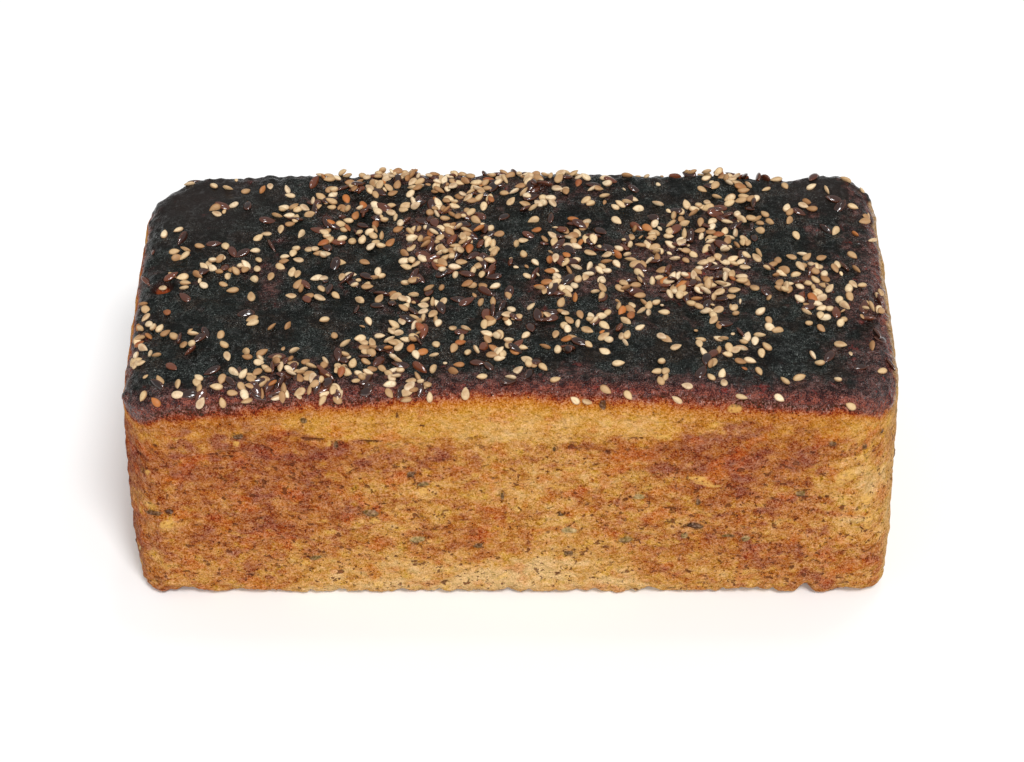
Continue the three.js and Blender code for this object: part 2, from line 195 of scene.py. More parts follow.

# Nicks in the front side, darkened with painted shade: x, height, half length, half height, and slope unless
# level.
FRONT_NICKS = (
    (-92, 54, 1.4, 0.6, 0.3), (-89.5, 47.2, 1, 0.8), (-86.5, 53.7, 2.2, 0.45, -0.3),
    (-84, 26.5, 2.4, 0.5, -0.2), (-77.5, 19, 0.8, 1.2), (-75.5, 43.6, 1.2, 0.4, 0.4),
    (-75, 51, 5, 0.5, -0.15), (-70, 7.5, 1.8, 0.9), (-67, 47, 1.2, 0.5, -0.1),
    (-66, 28.5, 1.4, 0.5, 0.1), (-62, 52.5, 2.6, 0.5, -0.5), (-57.5, 12, 1.6, 0.6, 0.5),
    (-50, 56.2, 6.5, 0.5, -0.05), (-37, 55.4, 7, 0.4, 0.06), (-41.5, 24.5, 1.2, 0.6, -0.3),
    (-33.5, 34.3, 1.3, 0.5, 0.1), (-31, 15, 1.3, 0.6, -0.3), (-29, 64, 0.8, 1.4), (-23, 60.5, 1.1, 0.6),
    (-18, 5, 1.8, 1.2), (-16, 15.5, 0.6, 0.9, 0.5), (-14.8, 48.6, 0.5, 0.7), (-13, 38, 0.45, 1.7),
    (-6, 40.4, 3, 0.35), (9.3, 44.8, 0.5, 0.6), (12, 8, 1.3, 1), (27, 40.4, 1.6, 0.4),
    (29.5, 35, 0.9, 1.2, 0.5), (36, 64.5, 0.5, 0.6), (42, 31.8, 1.5, 1.2), (42.5, 61.4, 2, 0.6, 0.6),
    (47, 9, 2.2, 0.9, -0.2), (66.5, 64, 0.7, 0.7), (66.6, 44.8, 0.7, 0.8), (68, 35.6, 1.6, 0.7, -0.2),
    (74.5, 11, 1.2, 0.9, 0.2), (76, 58.8, 2.4, 0.8, -0.9), (77, 52.3, 0.8, 1), (82, 36.5, 1.2, 1, -0.4),
    (92, 25, 1.6, 0.5, -0.6), (93.5, 32, 1.8, 0.5, -0.7), (95.5, 52, 1.6, 0.5, -0.3),
)

# Noises of the relief: height in millimetres, size of the features, seed.
TOP_RELIEF = ((0.36, 12, 11), (0.36, 5.5, 12), (0.34, 2.7, 13))
WRINKLE_RELIEF = ((0.5, 3.6, 21), (0.42, 2, 22))
WALL_RELIEF = ((0.32, (10, 10, 7), 31), (0.26, (4.6, 4.6, 3), 32), (0.22, 2, 33))
BLOB_HEIGHT = 0.4
GRAIN_HEIGHT = 0.3
HUSK_HEIGHT = 0.25
GROOVE_DEPTH = 0.35
CREASE_DEPTH = 0.7
NICK_DEPTH = 0.7
FOOT_RAGGED = 1.1  # how deep the foot edge is nibbled
UNDERSIDE_FLATNESS = 0.85  # how much of the relief the underside lacks


def smoothstep(value, low, high):
    """0 below low, 1 above high, and a smooth change between."""
    share = np.clip((value - low) / (high - low), 0, 1)
    return share * share * (3 - 2 * share)


def bell(away, reach):
    """1 at no distance, falling smoothly to about a third at the reach."""
    return np.exp(-((away / reach) ** 2))


def swell(waves, along, across):
    """The sum of level waves, each given as its share, its two lengths and its phase."""
    return sum(share * np.sin(along / a + across / b + phase) for share, a, b, phase in waves)


def patches(table, x, y):
    """The sum of soft round patches, each given as x, y, its two reaches and its weight."""
    return sum(weight * bell(x - at_x, rx) * bell(y - at_y, ry) for at_x, at_y, rx, ry, weight in table)


# ---- the skin of the bare loaf
def corner_radius(x, y, z):
    """The radius of the nearest upright corner at that height."""
    left, front = (x < 0)[..., None], (y < 0)[..., None]
    front_radii = np.where(left, CORNER_FRONT_LEFT, CORNER_FRONT_RIGHT)
    back_radii = np.where(left, CORNER_BACK_LEFT, CORNER_BACK_RIGHT)
    radii = np.where(front, front_radii, back_radii)
    top, foot = radii[..., 0], radii[..., 1]
    return foot + (top - foot) * smoothstep(z, 0, HEIGHT * CORNER_FULL)


def round_corner(across, up):
    """Turns the square corner of a profile into a quarter circle."""
    share = np.maximum(across, up) / np.maximum(np.hypot(across, up), 1e-9)
    return across * share, up * share


def round_in_plan(x, y, z):
    """Rounds the upright corners. Gives the point, its way out, and its distance from the outline."""
    radius = corner_radius(x, y, z)
    across_x = np.abs(x) - (HALF_LENGTH - radius)
    across_y = np.abs(y) - (HALF_WIDTH - radius)
    corner = (across_x > 0) & (across_y > 0)
    out_x, out_y = round_corner(np.where(corner, across_x, 1), np.where(corner, across_y, 1))
    reach = np.hypot(out_x, out_y)
    near_end = HALF_LENGTH - np.abs(x) < HALF_WIDTH - np.abs(y)
    side_inset = np.minimum(HALF_LENGTH - np.abs(x), HALF_WIDTH - np.abs(y))
    return {
        "x": np.where(corner, np.sign(x) * (HALF_LENGTH - radius + out_x), x),
        "y": np.where(corner, np.sign(y) * (HALF_WIDTH - radius + out_y), y),
        "out_x": np.where(corner, np.sign(x) * out_x / reach, np.where(near_end, np.sign(x), 0)),
        "out_y": np.where(corner, np.sign(y) * out_y / reach, np.where(near_end, 0, np.sign(y))),
        "inset": np.where(corner, radius - reach, side_inset),
    }


def round_edge(inset, lift, radius):
    """Rounds a top or foot edge: lift is how far the point stands into that edge's radius."""
    across = radius - inset
    rounded = (across > 0) & (lift > 0)
    new_across, new_lift = round_corner(np.where(rounded, across, 1), np.where(rounded, lift, 1))
    return np.where(rounded, radius - new_across, inset), new_lift, rounded


def top_rise(x, y):
    """How far the top stands above its plain height: waves, humps and the drop at the ends."""
    humps = sum(rise * bell(x - at_x, reach) * bell(y - at_y, reach) for at_x, at_y, reach, rise in HUMPS)
    return TOP_SWELL * swell(TOP_WAVES, x, y) + humps - END_DROP * np.abs(x / HALF_LENGTH) ** 3


def foot_rise(x, along, frontness):
    """How far the foot edge is lifted: by bites at the front, by waves elsewhere."""
    waves = FOOT_LIFT * smoothstep(swell(FOOT_WAVES, along, 0), NOTCH_FROM, NOTCH_FULL)
    bites = sum(lift * bell(x - at_x, reach) for at_x, reach, lift in BITES)
    return waves + (bites - waves) * frontness


def girth_of(x, y):
    """How far round the loaf a point of the block's side is: the front is at x, the rest goes on from it."""
    right = HALF_LENGTH + (y + HALF_WIDTH)
    back = HALF_LENGTH + WIDTH + (HALF_LENGTH - x)
    left = -HALF_LENGTH - (y + HALF_WIDTH)
    inset_x, inset_y = HALF_LENGTH - np.abs(x), HALF_WIDTH - np.abs(y)
    on_end = inset_x < inset_y
    return np.where(on_end, np.where(x > 0, right, left), np.where(y > 0, back, x))


def on_loaf(x, y, z):
    """Carries points of the plain block to the bare loaf, with what the finish needs to know of them."""
    plan = round_in_plan(x, y, z)
    frontness = np.maximum(0, -plan["out_y"])
    top_radius = EDGE_TOP + (EDGE_TOP_FRONT - EDGE_TOP) * smoothstep(frontness, FRONT_FROM, FRONT_FULL)
    top_inset, top_lift, at_top = round_edge(plan["inset"], z - (HEIGHT - top_radius), top_radius)
    foot_inset, foot_lift, at_foot = round_edge(plan["inset"], EDGE_FOOT - z, EDGE_FOOT)
    inset = np.maximum(top_inset, foot_inset)
    up = np.where(at_top, HEIGHT - top_radius + top_lift, z)
    up = np.where(at_foot, EDGE_FOOT - foot_lift, up)

    share = up / HEIGHT
    out_x, out_y = plan["out_x"], plan["out_y"]
    along = plan["x"] * np.abs(out_y) + plan["y"] * np.abs(out_x) + SIDE_SHIFT * (out_x + 2 * out_y)
    on_side = np.exp(-inset / EDGE_TOP) * np.sin(np.pi * share)
    out = plan["inset"] - inset + on_side * (BELLY + SIDE_SWELL * swell(SIDE_WAVES, along, up))
    taper = 1 - FOOT_TAPER * (1 - share)
    px = (plan["x"] + out_x * out) * taper
    py = (plan["y"] + out_y * out) * taper

    near_foot = 1 - smoothstep(inset + up, 0, FOOT_REACH)
    pz = up + share**2 * top_rise(px, py) + near_foot * foot_rise(px, along, frontness)
    facts = {
        "down": HEIGHT - up - inset,
        "up": up,
        "inset": inset,
        "girth": girth_of(x, y),
        "frontness": frontness,
        "endness": np.abs(out_x),
        "cornerness": 4 * out_x**2 * out_y**2,
    }
    return np.stack([px, py, pz], -1), facts


def on_top(x, y):
    """The same skin reached from above. Past the front edge, y goes on down the front side."""
    over = np.maximum(0, -HALF_WIDTH - y)
    return on_loaf(x, y + over, HEIGHT - over)


# ---- noise
def scramble(lattice, seed):
    """An even number between 0 and 1 for each whole-number point, the same each time."""
    mixed = (lattice * np.array([73856093, 19349663, 83492791])).sum(-1) + seed * 374761393
    mixed = mixed.astype(np.uint64) & 0xFFFFFFFF
    for shift, factor in ((16, 0x45D9F3B), (16, 0x45D9F3B), (16, 1)):
        mixed = ((mixed ^ (mixed >> np.uint64(shift))) * np.uint64(factor)) & np.uint64(0xFFFFFFFF)
    return mixed.astype(float) / 2**32


def noise(points, cell, seed):
    """Smooth noise from about -1 to 1, with features about cell millimetres wide (one size or three)."""
    placed = points / np.asarray(cell, float)
    base = np.floor(placed).astype(np.int64)
    inside = placed - base
    fade = inside**3 * (inside * (inside * 6 - 15) + 10)
    total = np.zeros(len(points))
    for corner in itertools.product((0, 1), repeat=3):
        lattice = base + corner
        turn = 2 * np.pi * scramble(lattice, seed)
        tilt = 2 * scramble(lattice, seed + 1) - 1
        flat = np.sqrt(1 - tilt**2)
        slope = np.stack([flat * np.cos(turn), flat * np.sin(turn), tilt], -1)
        weight = np.prod(np.where(corner, fade, 1 - fade), axis=-1)
        total += weight * ((inside - corner) * slope).sum(-1)
    return 1.6 * total


def layered_noise(points, cell, seed, layers=3):
    """Noise with layers of finer and fainter noise on it."""
    cell = np.asarray(cell, float)
    total = sum(noise(points, cell / 2**i, seed + 7 * i) / 2**i for i in range(layers))
    return total / sum(1 / 2**i for i in range(layers))


def noises(points, table, rule=noise):
    """The sum of the noises of a table, each given as how much, the size of its features and its seed."""
    return sum(amount * rule(points, cell, seed) for amount, cell, seed in table)


# ---- relief of the crust
def crust_edge(points, facts):
    """Millimetres below the line where the dark crust ends: negative on the crust."""
    line = CRUST_LINE_FRONT + (CRUST_LINE_END - CRUST_LINE_FRONT) * facts["endness"]
    sags = sum(lower * bell(points[:, 0] - at_x, reach) for at_x, reach, lower in FRONT_SAGS)
    line = line + smoothstep(facts["frontness"], 0.1, 0.5) * sags
    round_corner_share = smoothstep(facts["endness"], 0.1, 0.8) * (1 - smoothstep(facts["endness"], 0.93, 1))
    ragged = 0.9 * layered_noise(points, 7, 301) + 0.35 * noise(points, 1.6, 305)
    below = facts["down"] - line - CORNER_SAG * round_corner_share - ragged
    return below * np.where(below > 0, 1 + END_SHARPNESS * facts["endness"], 1)


def blister_marks(points):
    """How deep points are in the burst blister, and how high on the lip round it, both from 0 to 1."""
    away = np.hypot(
        (points[:, 0] - BLISTER["x"]) / (BLISTER["length"] / 2),
        (points[:, 1] - BLISTER["y"]) / (BLISTER["width"] / 2),
    )
    high = smoothstep(points[:, 2], HEIGHT / 2, HEIGHT * 0.8)
    return high * (1 - smoothstep(away, 0.35, 1.05)), high * bell(away - 1.2, 0.25)


def oval(facts, girth, up, half_length, half_height, slope=0.0):
    """How far points are from the middle of an oval on the sides: 1 on its outline."""
    along = facts["girth"] - girth
    return np.hypot(along / half_length, (facts["up"] - up - slope * along) / half_height)


def front_spots(facts, table, core):
    """The ovals of a table for the front side as one mark: 1 as far out as core, 0 past their outlines."""
    mark = np.zeros(len(facts["up"]))
    for place in table:
        mark = np.maximum(mark, 1 - smoothstep(oval(facts, *place), core, 1.2))
    return mark


def nick_marks(facts):
    return front_spots(facts, FRONT_NICKS, 0.2)


def husk_marks(facts):
    return front_spots(facts, FRONT_HUSKS, 0.4)


def grain_places():
    """The grains in the sides, as rows like those of the front, with girth for x."""
    draw = draw_from(GRAIN_DRAW)
    places = list(FRONT_GRAINS)
    for _ in range(GRAINS_ELSEWHERE):
        girth = HALF_LENGTH + draw() * (WIDTH * 2 + LENGTH)
        up = GRAIN_MARGINS[0] + draw() * (HEIGHT - sum(GRAIN_MARGINS))
        half_length, half_height = 0.8 + 2 * draw(), 0.7 + 0.7 * draw()
        places.append((girth, up, half_length, half_height, draw() - 0.5, draw()))
    return places


def grain_marks(facts):
    """How far points are inside a grain, how pale that grain is, and how deep in the groove round it."""
    inside = np.zeros(len(facts["up"]))
    groove = np.zeros(len(facts["up"]))
    pale = np.zeros(len(facts["up"]))
    whole_girth = 2 * (LENGTH + WIDTH)
    for girth, up, half_length, half_height, slope, paleness in grain_places():
        for place in (girth, girth - whole_girth):
            away = oval(facts, place, up, half_length, half_height, slope)
            pale = np.where(away < 1.5, paleness, pale)
            inside = np.maximum(inside, 1 - smoothstep(away, 0.6, 1.1))
            groove = np.maximum(groove, bell(away - 1.25, 0.3))
    return inside, pale, groove


def creases(points):
    """The short level cracks of the crumb, from 0 to 1."""
    cracks = smoothstep(noise(points, (7, 7, 2.2), 41), 0.36, 0.8)
    return cracks * smoothstep(noise(points, 14, 43), -0.3, 0.2)


def relief(points, facts):
    """How far the true crust stands above the bare skin, in millimetres."""
    edge = crust_edge(points, facts)
    on_wall = smoothstep(edge, -3.5, 0.5)
    under = smoothstep(facts["inset"], 2, 8) * smoothstep(-facts["up"], -4, -1)

    top = noises(points, TOP_RELIEF)
    wrinkles = bell(edge + 4, 5) * noises(points, WRINKLE_RELIEF)
    blobs = bell(edge + 5, 5) * smoothstep(noise(points, 3.2, 23), 0.15, 0.6)
    wall = noises(points, WALL_RELIEF) - CREASE_DEPTH * creases(points)
    grains, _, grooves = grain_marks(facts)
    wall = wall + GRAIN_HEIGHT * grains - GROOVE_DEPTH * grooves + HUSK_HEIGHT * husk_marks(facts)
    wall = wall - NICK_DEPTH * nick_marks(facts)
    at_foot = 1 - smoothstep(facts["inset"] + facts["up"], 0.5, 5)
    ragged = smoothstep(noise(points, (3.4, 3.4, 9), 51), 0.0, 0.6)
    ragged = ragged + 0.7 * smoothstep(noise(points, 1.9, 52), 0.1, 0.6)
    wall = wall - FOOT_RAGGED * at_foot * ragged
    hollow, lip = blister_marks(points)
    height = (1 - on_wall) * top + wrinkles + BLOB_HEIGHT * blobs + on_wall * wall
    return height * (1 - UNDERSIDE_FLATNESS * under) - BLISTER["depth"] * hollow + BLISTER["lip"] * lip


def bake_of(points, facts):
    """How deeply the sides are baked, from 0 for pale gold to 1 for red-brown, with painted shade at the
    foot's ends on the front.
    """
    down = facts["down"]
    bake = MIDDLE_BAKE + noises(points, BAKE_MOTTLE, layered_noise)
    bake += sum(darker * bell(down - at, reach) for at, reach, darker in BAKE_BANDS)
    bake -= sum(paler * smoothstep(down, low, high) for low, high, paler in FOOT_PALING)
    end_bake = np.where(points[:, 0] < 0, LEFT_END_BAKE, RIGHT_END_BAKE)
    bake += CORNER_BAKE * facts["cornerness"] + end_bake * smoothstep(facts["endness"], 0.6, 1)
    front = smoothstep(facts["frontness"], 0.1, 0.7)
    return np.clip(bake + front * patches(FRONT_BAKE_AND_FOOT_SHADE, points[:, 0], points[:, 2]), 0, 1)


def glaze_of(points, facts, edge):
    """Where the crust is glazed and purple-brown, from 0 to 1."""
    mottle = layered_noise(points, 8, 81)
    along_edge = 0.25 + 0.75 * smoothstep(facts["frontness"], 0, 0.6)
    along_edge = along_edge * smoothstep(edge + 5 * mottle, -17, -4)
    seeded = 0.7 * np.minimum(patches(DRIFTS, points[:, 0], points[:, 1]), 1)
    patchy = patches(GLAZED, points[:, 0], points[:, 1]) + seeded + 0.4 * mottle
    return np.clip(np.maximum(along_edge, patchy), 0, 1)


def smoothness_of(points):
    """Where the crust is smooth and dull, from 0 to 1."""
    return patches(SMOOTH_CORNERS, points[:, 0], points[:, 1])


# ---- meshes
def surface_grid(steps):
    """The skin of a block of unit steps: whole-number points and the four corners of each face."""
    _, ny, nz = steps
    points = []
    quads = []
    start = 0
    for axis, side in itertools.product(range(3), (0, 1)):
        n_first, n_second = [n for a, n in enumerate(steps) if a != axis]
        ranges = [np.arange(1 if a == axis else n + 1) for a, n in enumerate(steps)]
        lattice = np.stack(np.meshgrid(*ranges, indexing="ij"), -1).reshape(-1, 3)
        lattice[:, axis] = side * steps[axis]
        corner = (np.arange(n_first)[:, None] * (n_second + 1) + np.arange(n_second)[None]).ravel()
        loop = np.stack([corner, corner + n_second + 1, corner + n_second + 2, corner + 1], -1)
        outward = (side == 1) != (axis == 1)
        quads.append((loop if outward else loop[:, ::-1]) + start)
        points.append(lattice)
        start += len(lattice)
    points = np.concatenate(points)
    keys = (points[:, 0] * (ny + 1) + points[:, 1]) * (nz + 1) + points[:, 2]
    _, kept, same_as = np.unique(keys, return_index=True, return_inverse=True)
    return points[kept], same_as[np.concatenate(quads)]


def new_mesh(name, points, faces, marks):
    """A smooth mesh object from points in millimetres, with a number for each point under each mark."""
    mesh = bpy.data.meshes.new(name)
    mesh.from_pydata(points * MM, [], faces)
    mesh.validate()
    mesh.shade_smooth()
    for mark, values in marks.items():
        attribute = mesh.attributes.new(mark, "FLOAT", "POINT")
        attribute.data.foreach_set("value", np.asarray(values, np.float32))
    piece = bpy.data.objects.new(name, mesh)
    bpy.context.scene.collection.objects.link(piece)
    return piece


def ways_out(points, quads):
    """The way out of the surface at each point of a quad mesh."""
    across = points[quads[:, 2]] - points[quads[:, 0]]
    along = points[quads[:, 3]] - points[quads[:, 1]]
    faces = np.cross(across, along)
    total = np.zeros_like(points)
    for corner in range(4):
        np.add.at(total, quads[:, corner], faces)
    return total / np.linalg.norm(total, axis=1, keepdims=True)


def centre_shift(points):
    """What brings the middle of the points' underside to the origin."""
    low, high = points.min(0), points.max(0)
    return np.array([-(low[0] + high[0]) / 2, -(low[1] + high[1]) / 2, -low[2]])


def thin_underside(piece, facts):
    """Joins the small faces of the underside, away from its edge, until the mesh is light enough."""
    flat = np.flatnonzero((facts["up"] < 1e-6) & (facts["inset"] > UNDERSIDE_INSET))
    group = piece.vertex_groups.new(name="underside")
    group.add([int(i) for i in flat], 1.0, "REPLACE")
    thin = piece.modifiers.new("thin", "DECIMATE")
    thin.vertex_group = group.name
    thin.ratio = TRIANGLES / (2 * len(piece.data.polygons))
    bpy.context.view_layer.objects.active = piece
    bpy.ops.object.modifier_apply(modifier=thin.name)
    piece.vertex_groups.clear()
    places = np.empty(3 * len(piece.data.vertices), np.float32)
    piece.data.vertices.foreach_get("co", places)
    places[2::3] = np.maximum(places[2::3], 0)
    piece.data.vertices.foreach_set("co", places)


def make_loaf():
    lattice, quads = surface_grid(GRID)
    block = lattice / np.array(GRID) * (LENGTH, WIDTH, HEIGHT) - (HALF_LENGTH, HALF_WIDTH, 0)
    points, facts = on_loaf(*block.T)
    edge = crust_edge(points, facts)
    grains, pale, grooves = grain_marks(facts)
    marks = {
        "edge": edge,
        "bake": bake_of(points, facts),
        "glaze": glaze_of(points, facts, edge),
        "smooth": smoothness_of(points),
        "grain": grains,
        "pale": pale,
        "husk": husk_marks(facts),
        "right": facts["endness"] * (points[:, 0] > 0),
        # painted shade in the nicks, the grooves round the grains and the cracks of the crumb
        "dark": np.maximum(np.maximum(nick_marks(facts), 0.55 * grooves), 0.6 * creases(points)),
        "hollow": blister_marks(points)[0],
    }
    shaped = points + ways_out(points, quads) * relief(points, facts)[:, None]
    shaped[:, 2] = np.maximum(shaped[:, 2], 0)
    shift = centre_shift(shaped)
    piece = new_mesh("rye_loaf", shaped + shift, quads, marks)
    thin_underside(piece, facts)
    return piece, shift


# ---- scattered seeds
def draw_from(seed):
    """An even draw between 0 and 1, the same each time (the mulberry32 rule, as in the CAD part)."""
    whole = 0xFFFFFFFF
    state = seed

    def draw():
        nonlocal state
        state = (state + 0x6D2B79F5) & whole
        mixed = ((state ^ (state >> 15)) * (1 | state)) & whole
        mixed = ((mixed + (((mixed ^ (mixed >> 7)) * (61 | mixed)) & whole)) & whole) ^ mixed
        return (mixed ^ (mixed >> 14)) / 2**32

    return draw


def in_blister(x, y):
    away = math.hypot((x - BLISTER["x"]) / BLISTER["length"], (y - BLISTER["y"]) / BLISTER["width"])
    return away < BLISTER_BARE


def scatter(kind, lying_before):
    """Draws where the seeds of a kind lie: rows of x, y, turn, tilt, size, and how many lie beneath."""
    draw = draw_from(kind["draw"])
    lying = []
    while len(lying) < kind["count"]:
        x = (2 * draw() - 1) * HALF_LENGTH
        y = (2 * draw() - 1) * (HALF_WIDTH + OVERHANG / 2) - OVERHANG / 2
        kept = draw() < EVEN_SCATTER + patches(DRIFTS, x, y)
        turn, tilt, size = draw() * 2 * math.pi, 2 * draw() - 1, 2 * draw() - 1
        fused = len(lying) < kind["fused"]
        gap = SEED_GAP if fused else PILE_GAP
        if not kept or any(math.hypot(x - other[0], y - other[1]) < gap for other in lying):
            continue
        beneath = 0
        if not fused:
            if in_blister(x, y):
                continue
            if size < BIT_BELOW:
                size = BIT_SIZE
            reach = kind["length"] * PILE_REACH
            near = [o[5] + 1 for o in lying + lying_before if math.hypot(x - o[0], y - o[1]) < reach]
            beneath = min(max(near, default=0), MOST_BENEATH)
        lying.append((x, y, turn, tilt, size, beneath))
    return lying


def almond(around, along):
    """A seed of length, width and thickness 2 about the origin, blunt at -x and sharp at +x.

    Gives its points, its triangles, and how near each point is to the rim of its flat faces.
    """
    rings = np.sin(np.linspace(-1, 1, along + 2)[1:-1] * np.pi / 2)
    angles = np.arange(around) * 2 * np.pi / around
    girth = (1 + rings) ** BLUNT_END * (1 - rings) ** SHARP_END
    girth = girth / girth.max()
    side = np.cos(angles)
    across, up = np.outer(girth, side).ravel(), np.outer(girth, np.sin(angles)).ravel()
    body = np.stack([np.repeat(rings, around), across, up], -1)
    points = np.concatenate([body, [[-1, 0, 0], [1, 0, 0]]])
    first, last = len(body), len(body) + 1
    faces = []
    for i in range(around):
        j = (i + 1) % around
        faces.append([first, j, i])
        faces.append([last, (along - 1) * around + i, (along - 1) * around + j])
        for ring in range(along - 1):
            a, b = ring * around, (ring + 1) * around
            faces.append([a + i, a + j, b + j])
            faces.append([a + i, b + j, b + i])
    rim = 1 - np.outer(1 - rings**2, 1 - side**2).ravel()
    return points, np.array(faces)[:, ::-1], np.concatenate([rim, [1, 1]])


def turn_about(axis, angles):
    """Rotation matrices about x, y or z."""
    i, j = [(1, 2), (2, 0), (0, 1)][axis]
    made = np.tile(np.eye(3), (len(angles), 1, 1))
    made[:, i, i] = made[:, j, j] = np.cos(angles)
    made[:, j, i] = np.sin(angles)
    made[:, i, j] = -np.sin(angles)
    return made


def turn_up_to(ways):
    """Rotation matrices by the shortest way from +z to each direction."""
    made = np.tile(np.eye(3), (len(ways), 1, 1))
    cross = np.zeros_like(made)
    x, y, z = ways.T
    cross[:, 0, 2], cross[:, 2, 0] = x, -x
    cross[:, 1, 2], cross[:, 2, 1] = y, -y
    return made + cross + cross @ cross / (1 + z)[:, None, None]


def make_seeds(name, kind, lying, shift):
    """All seeds of a kind as one piece, each turned to the slope under it."""
    x, y, turn, tilt, size, beneath = np.array(lying).T
    points, facts = on_top(x, y)
    along_x = on_top(x + SLOPE_STEP, y)[0] - on_top(x - SLOPE_STEP, y)[0]
    along_y = on_top(x, y + SLOPE_STEP)[0] - on_top(x, y - SLOPE_STEP)[0]
    out = np.cross(along_x, along_y)
    out /= np.linalg.norm(out, axis=1, keepdims=True)
    rise = relief(points, facts) + kind["thickness"] * (SEED_RISE + PILE_STEP * beneath)
    loose = np.arange(len(lying)) >= kind["fused"]
    pitch = tilt * np.where(loose, LOOSE_TILT * (1 + PILE_TILT * beneath), SEED_TILT)
    roll = np.where(loose, LOOSE_ROLL, 0) * np.sin(turn * 7) ** 5
    turned = turn_up_to(out) @ turn_about(2, turn) @ turn_about(1, pitch) @ turn_about(0, roll)
    half = (1 + size * SEED_SIZE_SPREAD) / 2
    halves = half[:, None] * np.array([kind["length"], kind["width"], kind["thickness"]])

    template, faces, rim = almond(kind["around"], kind["rings"])
    placed = np.einsum("nij,nmj->nmi", turned, template[None] * halves[:, None])
    placed += (points + out * rise[:, None])[:, None]
    count, each = len(lying), len(template)
    all_faces = (faces[None] + (np.arange(count) * each)[:, None, None]).reshape(-1, 3)
    chance = draw_from(kind["draw"] + TONE_DRAW)
    tone, toast = np.array([(chance(), chance()) for _ in range(count)]).T
    marks = {"tone": np.repeat(tone, each), "toast": np.repeat(toast, each), "rim": np.tile(rim, count)}
    return new_mesh(name, placed.reshape(-1, 3) + shift, all_faces, marks)


# ---- materials
def from_srgb(red, green, blue):
    """A colour given from 0 to 255 as the eye sees it, as the linear colour that a shader takes."""
    parts = [c / 255 for c in (red, green, blue)]
    return tuple(c / 12.92 if c <= 0.04045 else ((c + 0.055) / 1.055) ** 2.4 for c in parts) + (1.0,)


# What a step lighter adds to a linear colour, what a step darker takes away, and the darkest it leaves.
LIGHTER = (0.17, 0.127, 0.1)
DARKER = (0.245, 0.136, 0.074)
DARKEST = (0.03, 0.012, 0.002)

# Tones as the eye sees them, from 0 to 255.
GOLDEN = (202, 143, 56)
PURPLE = (130, 66, 56)
ORANGE = (184, 90, 26)
YELLOW = (212, 164, 70)
RIGHT_END_TAN = (200, 156, 92)
RIGHT_END_LINE = (168, 136, 90)
# painted shade in the pits of the crumb
PIT_SHADE_BROWN = (104, 50, 20)
HUSK_GOLD = (220, 170, 90)
# painted shade in the nicks, grooves and cracks
CREVICE_SHADE_BROWN = (84, 37, 17)
SMOOTH_CHAR = (38, 32, 30)
RED_GLAZE = (142, 48, 40)
# painted highlights of the crust: its sparkle and its glints
SPARKLE_HIGHLIGHT_GREY = (116, 122, 118)
GLINT_HIGHLIGHT_GREY = (150, 154, 148)
SESAME_TOAST = (146, 98, 60)
# the sesame rim: partly its own outline, partly painted shade
SESAME_RIM_AND_SHADE = (146, 100, 60)
SESAME_STAIN = (170, 124, 78)
# the linseed rim: partly its own amber edge, partly painted highlight
LINSEED_RIM_AND_HIGHLIGHT = (112, 58, 30)
LINSEED_SHADE = (28, 13, 9)

MIX_FIRST, MIX_SECOND, MIX_RESULT = 6, 7, 2  # the places of the Mix node's colour sockets


